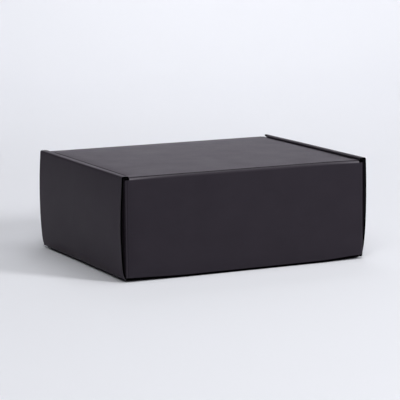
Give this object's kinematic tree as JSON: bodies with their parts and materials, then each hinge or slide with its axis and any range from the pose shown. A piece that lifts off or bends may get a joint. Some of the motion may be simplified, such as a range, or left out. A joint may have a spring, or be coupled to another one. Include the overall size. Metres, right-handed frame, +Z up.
{
  "type": "corrugated mailer box",
  "caption": "Black roll-end mailer box folded from one sheet of corrugated board, with rolled side walls, a hinged lid that lies between their rims, dust flaps and a tuck flap.",
  "frame": {"origin": "middle of the box's underside, on the surface that it stands on", "axes": "+X along the lid's hinge, +Y out through the hinge wall, +Z up"},
  "size_m": [0.2662, 0.211, 0.1012],
  "materials": {
    "black_board": "matte"
  },
  "bodies": {
    "tray": {"tray": "black_board"},
    "lid": {"lid": "black_board"}
  },
  "joints": [
    {"name": "lid_hinge", "type": "hinge", "parent": "tray", "child": "lid", "pos_m": [0, 0.1043, 0.0988], "axis": [-1, 0, 0], "range_deg": [0, 180]}
  ]
}
